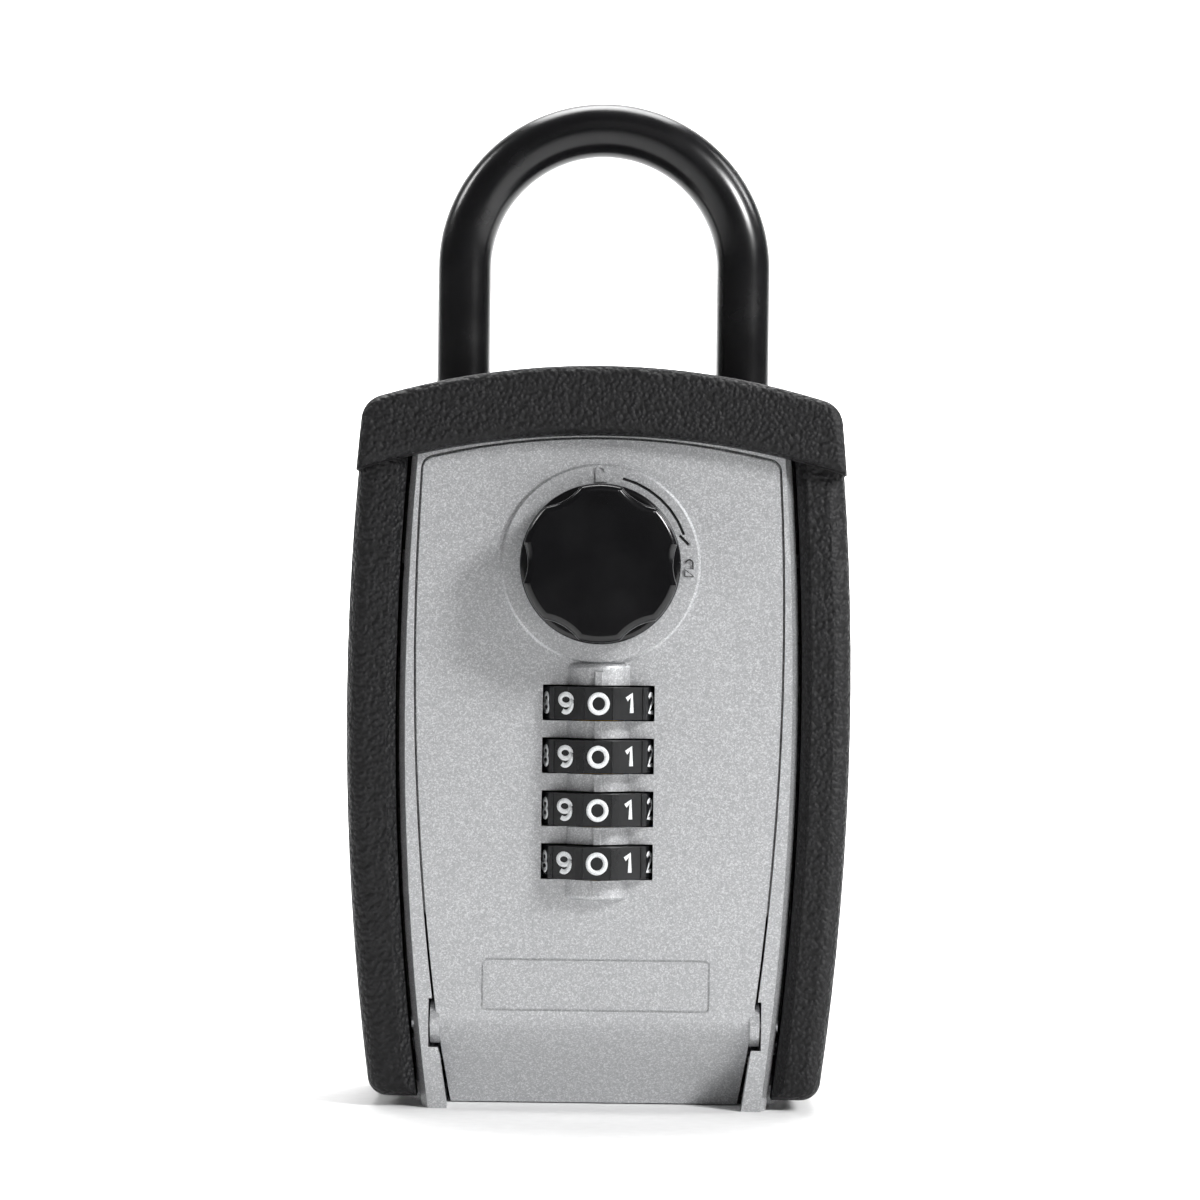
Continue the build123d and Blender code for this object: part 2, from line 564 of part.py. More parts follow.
BAR_X0, BAR_X1 = -13.6, -11.6
BAR_Y0, BAR_Y1 = -9.9, -4.9
FINGER_X = -6.3


def locking_bar():
    """Bar beside the wheels; its fingers move in between them towards the hubs' gates."""
    bar = box(BAR_X0, BAR_X1, BAR_Y0, BAR_Y1, 37.5, 76)
    for z in WHEELS_Z:
        mid = z - WHEEL_T / 2 - HUB_T / 2 - 0.05
        bar += box(BAR_X1 - 0.5, FINGER_X, BAR_Y0, BAR_Y0 + 2.0, mid - 0.7, mid + 0.7)
    bar += box(BAR_X0, BAR_X1, LATCH_Y0, BAR_Y1, 75, KNOB_Z + 2)
    bar += box(BAR_X1 - 0.5, -8.6, LATCH_Y0, BAR_Y1, KNOB_Z - 2, KNOB_Z + 2)
    return bar - rod_y(-BAR_R0, -10, 0, KNOB_Z, FOLLOW_R)


def bar_pin():
    return rod_y(-BAR_R0, CAM_BACK_Y - CAM_T + 0.4, BAR_Y1, KNOB_Z, FOLLOW_R)


RESET_X, RESET_Z = 11.5, 47.0
RESET_TRAVEL = 5.0


def reset_slider():
    """Slider that a user moves, with the door open, to set a new code."""
    slider = box(RESET_X - 1.2, RESET_X + 1.2, MECH_Y0 - 0.4, MECH_Y0 + 2.2, RESET_Z - 1.5, RESET_Z + 1.5)
    slider += box(RESET_X - 2.6, RESET_X + 2.6, MECH_Y0 - 1.4, MECH_Y0 - 0.2, RESET_Z - 3, RESET_Z + 3)
    thumb = box(RESET_X - 3, RESET_X + 3, MECH_Y0 + 1.2, MECH_Y0 + 3.0, RESET_Z - 3, RESET_Z + 3)
    for i in range(3):
        z = RESET_Z - 1.85 + 1.5 * i
        thumb -= box(RESET_X - 4, RESET_X + 4, MECH_Y0 + 2.6, MECH_Y0 + 4, z, z + 0.7)
    return slider + thumb


# ---------------------------------------------------------------- knob
def knob():
    """Turning knob: round skirt, scalloped grip, raised pointer on the top lobe."""
    skirt = rod_y(0, DOOR_FRONT_Y - RING_T - 3.0, DOOR_FRONT_Y - RING_T - CURVE_GAP, KNOB_Z, SKIRT_R)
    skirt = fillet(skirt.edges().sort_by(Axis.Y)[0], 0.8)
    grip = Circle(KNOB_R)
    reach = KNOB_R + SCALLOP_R - SCALLOP_D
    for i in range(SCALLOPS):
        a = 2 * pi * i / SCALLOPS
        grip -= Pos(reach * cos(a), reach * sin(a)) * Circle(SCALLOP_R)
    grip = fillet(grip.vertices(), 0.8)
    grip = face_slab(Pos(0, KNOB_Z) * grip, KNOB_FRONT_Y, DOOR_FRONT_Y - RING_T - 2.0)
    grip = fillet(grip.edges().group_by(Axis.Y)[0], 1.1)
    turned = skirt + grip
    mark_z = KNOB_Z + 10.4
    outer = make_face(Polyline((-2.15, mark_z - 0.9), (2.15, mark_z - 0.9), (0, mark_z + 1.5), close=True))
    turned += face_slab(outer - offset(outer, -0.45), KNOB_FRONT_Y - 0.25, KNOB_FRONT_Y + 0.5)
    hole = rod_y(0, KNOB_FRONT_Y + 4, 0, KNOB_Z, SHAFT_R)
    return turned - hole


def knob_shaft():
    shaft = rod_y(0, KNOB_FRONT_Y + 4, MECH_Y0 - 0.4, KNOB_Z, SHAFT_R)
    groove = rod_y(0, CLIP_Y, CLIP_Y + 0.8, KNOB_Z, SHAFT_R + 1) - rod_y(0, -10, 5, KNOB_Z, SHAFT_R - 0.6)
    return shaft - groove


CLIP_Y = -2.4


def shaft_clip():
    """Clip that keeps the cam and the knob from pulling out."""
    clip = rod_y(0, CLIP_Y, CLIP_Y + 0.8, KNOB_Z, SHAFT_R + 1.6) - rod_y(0, -10, 5, KNOB_Z, SHAFT_R - 0.6)
    return clip - box(-1.6, 1.6, -5, 5, KNOB_Z - 8, KNOB_Z)


def spiral_slot(start_angle, r0, travel):
    """Slot whose radius falls evenly by travel over the knob's quarter turn."""
    steps = 18
    outer, inner = [], []
    for i in range(steps + 1):
        a = radians(start_angle + TURN * i / steps)
        r = r0 - travel * i / steps
        outer.append(((r + SLOT_HALF) * cos(a), KNOB_Z + (r + SLOT_HALF) * sin(a)))
        inner.append(((r - SLOT_HALF) * cos(a), KNOB_Z + (r - SLOT_HALF) * sin(a)))
    face = make_face(Polyline(*outer, *reversed(inner), close=True))
    y0, y1 = CAM_BACK_Y - CAM_T - 1, CAM_BACK_Y + 1
    slot = face_slab(face, y0, y1)
    for angle, r in ((start_angle, r0), (start_angle + TURN, r0 - travel)):
        a = radians(angle)
        slot += rod_y(r * cos(a), y0, y1, KNOB_Z + r * sin(a), SLOT_HALF)
    return slot


def cam_disc():
    """Disc with two spiral slots: one lowers the latch, one moves the locking bar."""
    disc = rod_y(0, CAM_BACK_Y - CAM_T, CAM_BACK_Y, KNOB_Z, CAM_R)
    disc -= rod_y(0, -20, 0, KNOB_Z, SHAFT_R)
    disc -= spiral_slot(90, LATCH_R0, LATCH_TRAVEL)
    return disc - spiral_slot(180, BAR_R0, BAR_TRAVEL)


# ---------------------------------------------------------------- number wheels
def number_wheel(z):
    """Ten flat pads between ten ribs."""
    pads = RegularPolygon(FACET_R / cos(pi / 10), 10)
    core = pads & Circle(WHEEL_R)
    rib = Pos((WHEEL_R + 4) / 2, 0) * Rectangle(WHEEL_R - 4, RIB_W)
    face = core
    for i in range(10):
        face += Rot(0, 0, -90 + 18 + 36 * i) * rib
    face = (face & Circle(WHEEL_R)) - Circle(SPINDLE_R + RUN)
    return Pos(0, WHEEL_Y, z - WHEEL_T / 2) * extrude(face, WHEEL_T)


def wheel_hub(z):
    """Brass hub under a wheel, with the gate that lets the locking bar's finger in."""
    top = z - WHEEL_T / 2
    hub = rod_z(0, WHEEL_Y, top - HUB_T, top, HUB_R) - rod_z(0, WHEEL_Y, 0, 100, SPINDLE_R + RUN)
    gate = box(-HUB_R - 1, -HUB_R + 1.5, BAR_Y0 - 0.2, BAR_Y0 + 2.2, top - HUB_T, top)
    return hub - gate


def save(name, shape):
    """Write one node; a list becomes a group of separate solids."""
    solids = shape if isinstance(shape, list) else shape.solids()
    if len(solids) == 1:
        part = solids[0]
    else:
        part = Compound(children=[s if isinstance(s, Solid) else s.solid() for s in solids])
    part.label = name
    export_step(part, f"parts/{name}.step")


NODES = {
    "body_shell": body_shell,
    "back_plate": back_plate,
    "back_screws": back_screws,
    "bumper": bumper,
    "hinge_pins": hinge_pins,
    "bolt_housing": bolt_housing,
    "housing_screws": housing_screws,
    "bolt_spring": bolt_spring,
    "shackle_bar": shackle_bar,
    "shackle_sleeve": shackle_sleeve,
    "heel_clip": heel_clip,
    "shackle_bolt": shackle_bolt,
    "release_tab": release_tab,
    "door_panel": door_panel,
    "knob_bush": knob_bush,
    "mech_plate": mech_plate,
    "mech_screws": mech_screws,
    "wheel_spindle": wheel_spindle,
    "detent_leaf": detent_leaf,
    "latch_plate": latch_plate,
    "latch_pin": latch_pin,
    "latch_spring": latch_spring,
    "locking_bar": locking_bar,
    "bar_pin": bar_pin,
    "reset_slider": reset_slider,
    "knob": knob,
    "knob_shaft": knob_shaft,
    "shaft_clip": shaft_clip,
    "cam_disc": cam_disc,
}

for node, build in NODES.items():
    save(node, build())
for index, wheel_z in enumerate(WHEELS_Z, start=1):
    save(f"number_wheel_{index}", number_wheel(wheel_z))
    save(f"wheel_hub_{index}", wheel_hub(wheel_z))
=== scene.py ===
# %% [markdown]
# A combination key safe that hangs from a padlock shackle. The CAD model is the fixed frame: it
# gives every hard part at its true size. Here the surfaces get their real finishes, and the printed
# digits, which the CAD leaves out, are added. Everything is in metres; the door faces -Y.

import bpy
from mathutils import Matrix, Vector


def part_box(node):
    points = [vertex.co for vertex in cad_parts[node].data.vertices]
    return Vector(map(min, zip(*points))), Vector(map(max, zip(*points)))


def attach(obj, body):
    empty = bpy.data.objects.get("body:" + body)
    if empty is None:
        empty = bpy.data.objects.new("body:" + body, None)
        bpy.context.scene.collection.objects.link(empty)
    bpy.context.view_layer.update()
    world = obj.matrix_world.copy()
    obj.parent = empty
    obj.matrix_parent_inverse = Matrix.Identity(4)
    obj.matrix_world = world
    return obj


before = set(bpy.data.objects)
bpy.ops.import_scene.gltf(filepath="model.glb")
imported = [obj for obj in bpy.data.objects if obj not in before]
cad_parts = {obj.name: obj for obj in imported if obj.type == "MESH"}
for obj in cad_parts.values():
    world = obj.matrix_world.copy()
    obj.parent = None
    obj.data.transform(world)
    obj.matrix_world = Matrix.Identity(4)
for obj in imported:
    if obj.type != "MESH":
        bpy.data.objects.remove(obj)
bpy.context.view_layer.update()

# %% [markdown]
# Sizes are easiest to read in millimetres, while Blender works in metres, so one constant turns
# one into the other. Colours are written as the hex values that a paint maker would give, and one
# function turns those into the linear values that a shader needs.

# %% Units and colours
from math import cos, pi, radians, sin

import bmesh
import bpy
from mathutils import Matrix, Vector

MM = 0.001


def linear(hex_colour):
    """sRGB hex, such as 'C0C1C3', to a linear RGBA tuple."""
    channels = [int(hex_colour[i:i + 2], 16) / 255 for i in (0, 2, 4)]
    curve = [c / 12.92 if c <= 0.04045 else ((c + 0.055) / 1.055) ** 2.4 for c in channels]
    return (*curve, 1.0)


print("mid grey is", round(linear("808080")[0], 3), "in linear light")

# %% [markdown]
# A material is a small graph. One helper adds any node: its type, its settings, the values on its
# sockets, and what is linked into it. Every finish below is built with it, so the graph can be
# read from the text.

# %% A helper that adds a node
def add(tree, kind, values=None, **settings):
    """Add a node; a value that is an output socket is linked, anything else is set."""
    node = tree.nodes.new(kind)
    for name, setting in settings.items():
        setattr(node, name, setting)
    for socket, value in (values or {}).items():
        if isinstance(value, bpy.types.NodeSocket):
            tree.links.new(value, node.inputs[socket])
        else:
            node.inputs[socket].default_value = value
    return node


def ramp(tree, fac, stops):
    """Colour ramp from (position, colour) stops."""
    node = add(tree, "ShaderNodeValToRGB", {"Fac": fac})
    elements = node.color_ramp.elements
    while len(elements) < len(stops):
        elements.new(0.5)
    for element, (position, colour) in zip(elements, stops):
        element.position = position
        element.color = colour
    return node.outputs["Color"]


def grey(value):
    return (value, value, value, 1.0)


def start_material(name):
    """Empty material with a shader, its output and the object coordinates."""
    material = bpy.data.materials.new(name)
    material.use_nodes = True
    tree = material.node_tree
    tree.nodes.clear()
    shader = add(tree, "ShaderNodeBsdfPrincipled")
    add(tree, "ShaderNodeOutputMaterial", {"Surface": shader.outputs["BSDF"]})
    place = add(tree, "ShaderNodeTexCoord").outputs["Object"]
    return material, tree, shader, place


print("helpers ready")

# %% [markdown]
# The body and the door are die-cast zinc, sprayed with silver paint. The paint carries aluminium
# flakes about a fifth of a millimetre across, and each lies at its own small angle, so the surface
# looks like fine light and dark grain rather than flat grey. Voronoi cells of that size give each
# flake its own shade and tilt. A slow, shallow noise under it is the orange peel of sprayed paint,
# and a broader one dulls it in patches, as handling does.

# %% Silver flake paint
FLAKE = 0.2 * MM
PEEL = 1.6 * MM
HANDLED_PATCH = 14 * MM


def silver_flake_paint():
    material, tree, shader, place = start_material("Silver flake paint on die-cast zinc")
    flakes = add(tree, "ShaderNodeTexVoronoi", {"Vector": place, "Scale": 1 / FLAKE})
    split = add(tree, "ShaderNodeSeparateColor", {"Color": flakes.outputs["Color"]})
    value = split.outputs["Red"]
    colour = ramp(tree, value, [
        (0.0, linear("A9AAAC")), (0.6, linear("BABBBD")), (1.0, linear("D6D7D8")),
    ])
    tree.links.new(colour, shader.inputs["Base Color"])
    rough = add(tree, "ShaderNodeMapRange", {"Value": value, "To Min": 0.34, "To Max": 0.48})
    handled = add(tree, "ShaderNodeTexNoise", {
        "Vector": place, "Scale": 1 / HANDLED_PATCH, "Detail": 5.0,
    })
    worn = add(tree, "ShaderNodeMath", {
        0: handled.outputs["Fac"], 1: 0.1, 2: rough.outputs["Result"],
    }, operation="MULTIPLY_ADD")
    tree.links.new(worn.outputs["Value"], shader.inputs["Roughness"])
    peel = add(tree, "ShaderNodeTexNoise", {"Vector": place, "Scale": 1 / PEEL, "Detail": 2.0})
    tilt = add(tree, "ShaderNodeBump", {"Height": value, "Distance": 0.02 * MM, "Strength": 0.12})
    bump = add(tree, "ShaderNodeBump", {
        "Height": peel.outputs["Fac"], "Distance": 0.02 * MM, "Strength": 0.3,
        "Normal": tilt.outputs["Normal"],
    })
    tree.links.new(bump.outputs["Normal"], shader.inputs["Normal"])
    shader.inputs["Metallic"].default_value = 0.6
    shader.inputs["Coat Weight"].default_value = 0.12
    shader.inputs["Coat Roughness"].default_value = 0.25
    return material


silver = silver_flake_paint()
print("made", silver.name)

# %% [markdown]
# The boot is moulded from black rubber in a tool with a leather grain: soft pebbles under a
# millimetre across with creases between them. The grain catches the light as many small glints.
# Smooth Voronoi distance makes the pebbles, and a finer noise breaks them up so that they don't
# look like tiles. The same distance also darkens the colour in the creases and lightens it on the
# pebble tops, which is painted shade and painted highlight.

# %% Grained rubber
PEBBLE = 0.75 * MM
WARP = 1.5 * MM
FINE_GRAIN = 0.35 * MM


def grained_rubber():
    material, tree, shader, place = start_material("Moulded rubber with leather grain")
    warp = add(tree, "ShaderNodeTexNoise", {"Vector": place, "Scale": 1 / WARP, "Detail": 3.0})
    shift = add(tree, "ShaderNodeVectorMath", {
        0: warp.outputs["Color"], "Scale": 0.5 * MM,
    }, operation="SCALE")
    moved = add(tree, "ShaderNodeVectorMath", {
        0: place, 1: shift.outputs["Vector"],
    }, operation="ADD")
    pebbles = add(tree, "ShaderNodeTexVoronoi", {
        "Vector": moved.outputs["Vector"], "Scale": 1 / PEBBLE, "Smoothness": 0.6,
    }, feature="SMOOTH_F1")
    fine = add(tree, "ShaderNodeTexNoise", {
        "Vector": place, "Scale": 1 / FINE_GRAIN, "Detail": 4.0,
    })
    height = add(tree, "ShaderNodeMath", {
        0: pebbles.outputs["Distance"], 1: -1.0,
    }, operation="MULTIPLY")
    total = add(tree, "ShaderNodeMath", {
        0: fine.outputs["Fac"], 1: 0.35, 2: height.outputs["Value"],
    }, operation="MULTIPLY_ADD")
    bump = add(tree, "ShaderNodeBump", {
        "Height": total.outputs["Value"], "Distance": 0.3 * MM, "Strength": 1.0,
    })
    tree.links.new(bump.outputs["Normal"], shader.inputs["Normal"])
    # Painted shade and painted highlight: the colour is darker in the creases and lighter on the
    # pebble tops.
    colour = ramp(tree, pebbles.outputs["Distance"], [
        (0.1, linear("19191B")), (0.7, linear("0C0C0D")),
    ])
    tree.links.new(colour, shader.inputs["Base Color"])
    rough = add(tree, "ShaderNodeMapRange", {
        "Value": fine.outputs["Fac"], "To Min": 0.42, "To Max": 0.62,
    })
    tree.links.new(rough.outputs["Result"], shader.inputs["Roughness"])
    shader.inputs["Specular IOR Level"].default_value = 0.3
    return material


rubber = grained_rubber()
print("made", rubber.name)

# %% [markdown]
# The shackle wears an extruded vinyl sleeve and the knob is injection-moulded ABS. Both are black
# and glossy; what tells them from a perfect mirror is a faint waviness from the tool and hazy
# patches where hands have rubbed. One function makes both, and the duller plastics of the wheels
# and the inside too, with its own numbers for each.

# %% Gloss black plastics
HAZE_PATCH = 9 * MM


def gloss_plastic(name, hex_colour, rough_low, rough_high, wave, wave_depth):
    material, tree, shader, place = start_material(name)
    waves = add(tree, "ShaderNodeTexNoise", {"Vector": place, "Scale": 1 / wave, "Detail": 1.0})
    haze = add(tree, "ShaderNodeTexNoise", {"Vector": place, "Scale": 1 / HAZE_PATCH, "Detail": 6.0})
    rough = add(tree, "ShaderNodeMapRange", {
        "Value": haze.outputs["Fac"], "From Min": 0.35, "From Max": 0.7,
        "To Min": rough_low, "To Max": rough_high,
    })
    tree.links.new(rough.outputs["Result"], shader.inputs["Roughness"])
    bump = add(tree, "ShaderNodeBump", {
        "Height": waves.outputs["Fac"], "Distance": wave_depth, "Strength": 0.6,
    })
    tree.links.new(bump.outputs["Normal"], shader.inputs["Normal"])
    shader.inputs["Base Color"].default_value = linear(hex_colour)
    return material


vinyl = gloss_plastic("Extruded black vinyl", "0B0B0D", 0.2, 0.3, 5 * MM, 0.03 * MM)
abs_black = gloss_plastic("Gloss moulded ABS", "08080A", 0.12, 0.2, 4 * MM, 0.008 * MM)
wheel_black = gloss_plastic("Satin moulded nylon", "0E0F11", 0.25, 0.4, 1.2 * MM, 0.01 * MM)
tab_blue = gloss_plastic("Blue moulded acetal", "1D3F7C", 0.35, 0.5, 1.5 * MM, 0.02 * MM)
house_grey = gloss_plastic("Grey glass-filled nylon", "3A3B3E", 0.45, 0.65, 0.8 * MM, 0.03 * MM)
print("made", [m.name for m in (vinyl, abs_black, wheel_black, tab_blue, house_grey)])

# %% [markdown]
# The hidden parts are steel and brass. Turned and ground metal keeps the lines of the tool, so
# noise stretched along one direction varies both the height and the roughness. Zinc plating is
# duller and slightly mottled.

# %% Metals
MOTTLE = 2.5 * MM


def tooled_metal(name, dark, light, rough, line, stretch, mottling):
    material, tree, shader, place = start_material(name)
    squeeze = add(tree, "ShaderNodeMapping", {"Vector": place, "Scale": stretch})
    lines = add(tree, "ShaderNodeTexNoise", {
        "Vector": squeeze.outputs["Vector"], "Scale": 1 / line, "Detail": 3.0,
    })
    mottle = add(tree, "ShaderNodeTexNoise", {
        "Vector": place, "Scale": 1 / MOTTLE, "Detail": 4.0,
    })
    mixed = add(tree, "ShaderNodeMath", {
        0: mottle.outputs["Fac"], 1: mottling, 2: lines.outputs["Fac"],
    }, operation="MULTIPLY_ADD")
    colour = ramp(tree, mixed.outputs["Value"], [(0.3, linear(dark)), (0.9, linear(light))])
    tree.links.new(colour, shader.inputs["Base Color"])
    roughness = add(tree, "ShaderNodeMapRange", {
        "Value": mixed.outputs["Value"], "To Min": rough - 0.08, "To Max": rough + 0.1,
    })
    tree.links.new(roughness.outputs["Result"], shader.inputs["Roughness"])
    bump = add(tree, "ShaderNodeBump", {
        "Height": lines.outputs["Fac"], "Distance": 0.01 * MM, "Strength": 0.5,
    })
    tree.links.new(bump.outputs["Normal"], shader.inputs["Normal"])
    shader.inputs["Metallic"].default_value = 1.0
    return material


ground_steel = tooled_metal("Ground steel", "77797C", "B4B5B7", 0.3, 0.15 * MM, (0.05, 1, 1), 0.2)
zinc_plate = tooled_metal("Zinc-plated steel", "5A5D5C", "8A8C89", 0.38, 0.6 * MM, (1, 1, 1), 0.6)
spring_wire = tooled_metal("Drawn spring steel", "5F6164", "9FA1A3", 0.28, 0.1 * MM, (1, 1, 0.1), 0.1)
turned_brass = tooled_metal("Turned brass", "8C6A2E", "D9B25F", 0.3, 0.12 * MM, (0.1, 0.1, 1), 0.2)
print("made four metals")

# %% [markdown]
# Every CAD node arrives with a plain slot. Here each gets the finish of the real part. The mesh is
# left as it is; only its material slot changes.

# %% Finishes on the CAD nodes
FINISH = {
    silver: ["body_shell", "door_panel"],
    rubber: ["bumper"],
    vinyl: ["shackle_sleeve"],
    abs_black: ["knob"],
    wheel_black: [f"number_wheel_{i}" for i in range(1, 5)],
    tab_blue: ["release_tab", "reset_slider"],
    house_grey: ["bolt_housing"],
    ground_steel: ["shackle_bar", "shackle_bolt", "hinge_pins", "wheel_spindle", "latch_plate",
                   "latch_pin", "bar_pin", "knob_shaft"],
    zinc_plate: ["back_plate", "back_screws", "housing_screws", "mech_plate", "mech_screws",
                 "locking_bar", "cam_disc"],
    spring_wire: ["bolt_spring", "latch_spring", "detent_leaf", "heel_clip", "shaft_clip"],
    turned_brass: ["knob_bush"] + [f"wheel_hub_{i}" for i in range(1, 5)],
}
for material, names in FINISH.items():
    for name in names:
        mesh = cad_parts[name].data
        mesh.materials.clear()
        mesh.materials.append(material)
print("finished", sum(len(names) for names in FINISH.values()), "nodes")

# %% [markdown]
# The digits are printed in white on the ten flat pads of each wheel. A font would do, but these are
# wide, plain strokes of even thickness, so each digit is drawn as the path that a pen would take.
# Geometry Nodes then give the path a flat section, and the same tree serves every digit.

# %% The pen paths of the ten digits
# Each path is (points, closed), in millimetres along the centre line of the stroke.
DIGIT_W, DIGIT_H = 3.0, 3.05
STROKE = 0.8
ARC_STEPS = 10


def arc(cx, cz, rx, rz, start, end):
    """Points on an ellipse between two angles in degrees."""
    steps = max(4, int(abs(end - start) / 360 * 4 * ARC_STEPS))
    angles = [radians(start + (end - start) * i / steps) for i in range(steps + 1)]
    return [(cx + rx * cos(a), cz + rz * sin(a)) for a in angles]


half_w, half_h = DIGIT_W / 2, DIGIT_H / 2
quarter = half_h / 2
PEN = {
    0: [(arc(0, 0, half_w * 0.98, half_h, 90, 450), True)],
    1: [([(-0.95, half_h - 0.75), (0.1, half_h), (0.1, -half_h)], False)],
    2: [(arc(0, quarter, half_w * 0.8, quarter, 165, -40)
         + [(-1.25, -half_h), (1.3, -half_h)], False)],
    3: [(arc(-0.1, quarter, half_w * 0.8, quarter, 150, -90)
         + arc(-0.1, -quarter, half_w * 0.88, quarter, 90, -150), False)],
    4: [([(0.55, -half_h), (0.55, half_h), (-1.3, -0.55), (1.35, -0.55)], False)],
    5: [([(1.15, half_h), (-0.95, half_h), (-1.1, 0.15)]
         + arc(-0.05, -0.55, 1.2, 0.97, 120, -145), False)],
    6: [(arc(0.05, -0.6, 1.22, 0.92, 180, 540)
         + arc(0.05, 0.1, 1.22, 1.42, 180, 55), False)],
    7: [([(-1.25, half_h), (1.25, half_h), (-0.35, -half_h)], False)],
    8: [(arc(0, 0.78, 1.05, 0.75, -90, 270)
         + arc(0, -0.75, 1.25, 0.78, 90, -270), False)],
    9: [(arc(-0.05, 0.6, 1.22, 0.92, 0, 360)
         + arc(-0.05, -0.1, 1.22, 1.42, 0, -125), False)],
}
print("pen paths for", len(PEN), "digits")

# %% [markdown]
# The digits are pad-printed: a soft pad lays down a thin film of white ink. The film is never quite
# even, so a fine noise varies its shade and its height a little.

# %% White printing ink
SPECKLE = 0.18 * MM


def printing_ink():
    material, tree, shader, place = start_material("White pad-printed ink")
    speckle = add(tree, "ShaderNodeTexNoise", {
        "Vector": place, "Scale": 1 / SPECKLE, "Detail": 3.0,
    })
    colour = ramp(tree, speckle.outputs["Fac"], [
        (0.3, linear("CDD0D2")), (0.6, linear("ECEEEF")),
    ])
    tree.links.new(colour, shader.inputs["Base Color"])
    bump = add(tree, "ShaderNodeBump", {
        "Height": speckle.outputs["Fac"], "Distance": 0.01 * MM, "Strength": 0.4,
    })
    tree.links.new(bump.outputs["Normal"], shader.inputs["Normal"])
    shader.inputs["Roughness"].default_value = 0.5
    return material


ink = printing_ink()
print("made", ink.name)

# %% [markdown]
# A tree for the stroke takes a path and sweeps a flat rectangle along it. Its sizes are inputs, so
# the same tree would print thicker or thinner. It ends by setting the ink as its material.

# %% The stroke tree
def stroke_tree():
    tree = bpy.data.node_groups.new("Flat stroke along a pen path", "GeometryNodeTree")
    for name, kind in (("Pen path", "NodeSocketGeometry"), ("Stroke width", "NodeSocketFloat"),
                       ("Ink height", "NodeSocketFloat"), ("Ink", "NodeSocketMaterial")):
        tree.interface.new_socket(name, in_out="INPUT", socket_type=kind)
    tree.interface.new_socket("Digit", in_out="OUTPUT", socket_type="NodeSocketGeometry")
    given = add(tree, "NodeGroupInput").outputs
    section = add(tree, "GeometryNodeCurvePrimitiveQuadrilateral", {
        "Width": given["Stroke width"], "Height": given["Ink height"],
    })
    swept = add(tree, "GeometryNodeCurveToMesh", {
        "Curve": given["Pen path"], "Profile Curve": section.outputs["Curve"], "Fill Caps": True,
    })
    inked = add(tree, "GeometryNodeSetMaterial", {
        "Geometry": swept.outputs["Mesh"], "Material": given["Ink"],
    })
    real = add(tree, "GeometryNodeRealizeInstances", {"Geometry": inked.outputs["Geometry"]})
    add(tree, "NodeGroupOutput", {"Digit": real.outputs["Geometry"]})
    return tree


strokes = stroke_tree()
print("tree has", len(strokes.nodes), "nodes")

# %% [markdown]
# A modifier input is set by the socket's identifier. This helper does that, evaluates the object,
# and keeps the result as a plain mesh.

# %% From a node tree to a plain mesh
def bake_tree(obj, tree, values):
    """Run a node tree on an object and return the result as a plain mesh."""
    modifier = obj.modifiers.new("tree", "NODES")
    modifier.node_group = tree
    for item in tree.interface.items_tree:
        if item.in_out == "INPUT" and item.name in values:
            modifier[item.identifier] = values[item.name]
    bpy.context.view_layer.update()
    graph = bpy.context.evaluated_depsgraph_get()
    mesh = bpy.data.meshes.new_from_object(obj.evaluated_get(graph))
    bpy.data.objects.remove(obj)
    return mesh


def in_scene(name, data):
    """New object on its data, linked into the scene."""
    obj = bpy.data.objects.new(name, data)
    bpy.context.scene.collection.objects.link(obj)
    return obj


def pen_curve(paths):
    """Flat poly curve through points given in millimetres, in the XY plane."""
    curve = bpy.data.curves.new("pen", "CURVE")
    curve.dimensions = "3D"
    for points, closed in paths:
        if closed:
            points = points[:-1]
        spline = curve.splines.new("POLY")
        spline.points.add(len(points) - 1)
        for point, (x, z) in zip(spline.points, points):
            point.co = (x * MM, z * MM, 0, 1)
        spline.use_cyclic_u = closed
    return in_scene("pen", curve)


INK_H = 0.16
digit_meshes = {}
for number, paths in PEN.items():
    digit_meshes[number] = bake_tree(pen_curve(paths), strokes, {
        "Stroke width": STROKE * MM, "Ink height": INK_H * MM, "Ink": ink,
    })
print("digit 8 has", len(digit_meshes[8].polygons), "faces")

# %% [markdown]
# Each wheel gets its ten digits as one piece that turns with it. A digit stands on its pad: it is
# set upright, pushed out to the pad and turned about the wheel's axis in steps of 36 degrees. Going
# up by one turns the wheel to the left, so the numbers grow to the right.

# %% Print the wheels
WHEEL_X, WHEEL_Y = 0.0, -9.6 * MM     # the axis that the wheels turn about
PAD_R = 9.35 * MM                     # from that axis to a flat pad
STEP = 36                             # degrees from one digit to the next
PRINT_PROUD = 0.03 * MM
upright = Matrix.Rotation(pi / 2, 4, "X")


def print_wheel(index):
    low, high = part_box(f"number_wheel_{index}")
    middle = (low.z + high.z) / 2
    shape = bmesh.new()
    for number, mesh in digit_meshes.items():
        out = Matrix.Translation((0, -(PAD_R + PRINT_PROUD - INK_H / 2 * MM), 0)) @ upright
        turn = Matrix.Rotation(radians(STEP * number), 4, "Z")
        place = Matrix.Translation((WHEEL_X, WHEEL_Y, middle)) @ turn @ out
        one = mesh.copy()
        one.transform(place)
        shape.from_mesh(one)
        bpy.data.meshes.remove(one)
    bmesh.ops.recalc_face_normals(shape, faces=shape.faces)
    mesh = bpy.data.meshes.new(f"digits_{index}")
    shape.to_mesh(mesh)
    shape.free()
    mesh.materials.append(ink)
    obj = in_scene(f"digits_{index}", mesh)
    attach(obj, f"wheel_{index}")
    return obj


for index in range(1, 5):
    printed = print_wheel(index)
    print(printed.name, len(printed.data.polygons), "faces")
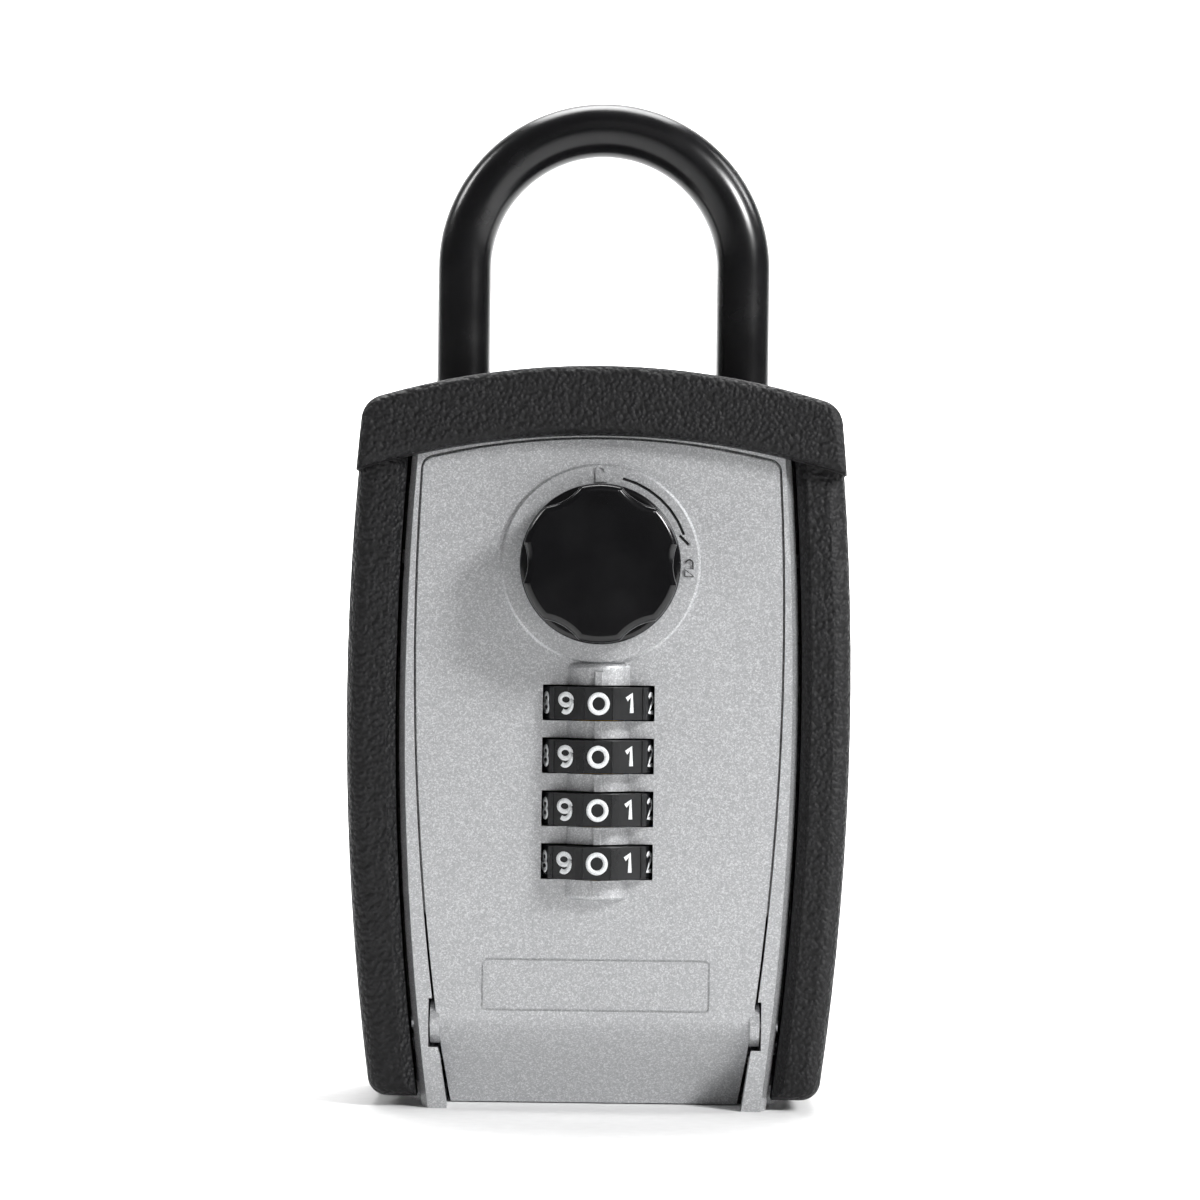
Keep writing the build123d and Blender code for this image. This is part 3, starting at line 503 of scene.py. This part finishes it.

# %% [markdown]
# The turning arrow engraved beside the knob, and the outline of the open-lock sign at its end, are
# drawn as thin black strips. This black is painted shade: it stands for the shadow that falls into
# the narrow engraved lines. They are strokes too, so the same tree draws them with another ink.
# They lie in the door's own frame and swing with it.

# %% Painted shade in the engraved signs
# Painted shade: a black finish for the strips in the engraved arrow and the sign's outline.
paint = gloss_plastic("Black painted shade in engraved lines", "101011", 0.4, 0.6, 0.8 * MM, 0.01 * MM)
RING_FRONT = -14.0 * MM
KNOB_Z = 92.8 * MM
ARROW_R = 15.0
# Each sign: stroke width and height of its black painted shade in millimetres, its y, and its paths.
SIGNS = {
    "arrow_groove_shade": (0.42, 0.1, RING_FRONT + 0.27 * MM, [
        (arc(0, 0, ARROW_R, ARROW_R, 76, 20), False),
        ([(13.4, 5.0), (14.9, 3.5)], False),
    ]),
    "sign_outline_shade": (0.24, 0.06, RING_FRONT - 0.31 * MM, [
        ([(14.35, -0.75), (14.35, -1.9), (15.85, -1.9), (15.85, -0.75)], True),
        ([(15.7, -0.7)] + arc(15.1, 0.3, 0.6, 0.6, 0, 180), False),
    ]),
}


def paint_shade_lines(name, width, height, y, paths):
    """Black strokes of painted shade in the plane of the door, drawn round the knob's centre."""
    mesh = bake_tree(pen_curve(paths), strokes, {
        "Stroke width": width * MM, "Ink height": height * MM, "Ink": paint,
    })
    mesh.transform(Matrix.Translation((0, y, KNOB_Z)) @ upright)
    mesh.name = name
    obj = in_scene(name, mesh)
    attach(obj, "door")
    return obj


for name, sizes in SIGNS.items():
    sign = paint_shade_lines(name, *sizes)
    print(sign.name, len(sign.data.polygons), "faces")

# %% [markdown]
# The room is plain: one pale sheet of paper that is the floor and curves up behind the object, so
# that no corner shows where floor and wall meet. Paper is matt, with a faint grain.

# %% Paper sweep
PAPER_GRAIN = 2.5 * MM


def sweep(width, depth, height, radius, steps):
    """Floor that rises into a wall through a quarter circle."""
    line = [(-depth, 0.0), (depth * 0.5 - radius, 0.0)]
    for i in range(1, steps + 1):
        a = pi / 2 * i / steps
        line.append((depth * 0.5 - radius + radius * sin(a), radius - radius * cos(a)))
    line.append((depth * 0.5, height))
    verts = [(x, y, z) for y, z in line for x in (-width / 2, width / 2)]
    faces = [(2 * i, 2 * i + 1, 2 * i + 3, 2 * i + 2) for i in range(len(line) - 1)]
    mesh = bpy.data.meshes.new("studio_sweep")
    mesh.from_pydata(verts, [], faces)
    mesh.polygons.foreach_set("use_smooth", [True] * len(faces))
    return in_scene("studio_sweep", mesh)


paper, paper_tree, paper_shader, paper_place = start_material("White paper")
grain = add(paper_tree, "ShaderNodeTexNoise", {"Vector": paper_place, "Scale": 1 / PAPER_GRAIN})
paper_colour = ramp(paper_tree, grain.outputs["Fac"], [(0.3, grey(0.86)), (0.7, grey(0.9))])
paper_tree.links.new(paper_colour, paper_shader.inputs["Base Color"])
paper_shader.inputs["Roughness"].default_value = 0.9

floor = sweep(width=6.0, depth=3.0, height=3.0, radius=0.8, steps=16)
floor.data.materials.append(paper)
print("sweep has", len(floor.data.polygons), "faces")

# %% [markdown]
# Soft light comes from rectangular lamps. The key lamp hangs at the upper right and is the smallest,
# so edges on that side are bright and the left side of the round parts falls into shade. A weak lamp
# fills the front, one lights the top, and two more light the paper behind. The air itself gives a
# low, even light, so that no shadow goes fully black.

# %% Lamps and world
def lamp(name, place, target, size, watts, spread=180):
    light = bpy.data.lights.new(name, "AREA")
    light.shape = "RECTANGLE"
    light.size, light.size_y = size
    light.energy = watts
    light.spread = radians(spread)
    obj = in_scene(name, light)
    obj.location = place
    obj.rotation_euler = (Vector(target) - Vector(place)).to_track_quat("-Z", "Y").to_euler()


MIDDLE = (0, 0, 0.087)
lamp("key", (0.75, -0.62, 0.62), MIDDLE, (0.26, 0.26), 12.5)
lamp("front", (0.3, -1.6, 0.9), MIDDLE, (0.9, 0.9), 0.5)
lamp("top", (0, 0.5, 1.2), (0, 0.2, 0), (0.9, 0.7), 8, spread=110)
for side in (-1, 1):
    lamp(f"backdrop_{side}", (side * 1.3, 0.3, 1.1), (0, 1.5, 0.15), (0.6, 0.6), 24, spread=100)
world = bpy.data.worlds.new("Soft white room")
world.use_nodes = True
air = world.node_tree.nodes["Background"]
air.inputs["Color"].default_value = grey(1)
air.inputs["Strength"].default_value = 0.12
bpy.context.scene.world = world
bpy.context.scene.view_settings.view_transform = "Standard"

# %% [markdown]
# The camera looks straight at the door from the height of the whole object's middle. Its lens is
# worked out from the width that it should take in at the door. A small turn about the line of
# sight makes the object lean a little.

# %% Camera
VIEW_W = 204 * MM
DOOR_Y = -13 * MM
DISTANCE = 0.70
SENSOR = 36.0
AIM = Vector((0.0, DOOR_Y, 86.7 * MM))
LEAN = 0.72

camera_data = bpy.data.cameras.new("camera")
camera_data.sensor_width = SENSOR
camera_data.lens = SENSOR * DISTANCE / VIEW_W
camera_data.dof.use_dof = False
camera = in_scene("camera", camera_data)
camera.matrix_world = (
    Matrix.Translation(AIM + Vector((0, -DISTANCE, 0)))
    @ upright @ Matrix.Rotation(radians(LEAN), 4, "Z")
)
bpy.context.scene.camera = camera
print("lens", round(camera_data.lens, 1), "mm")
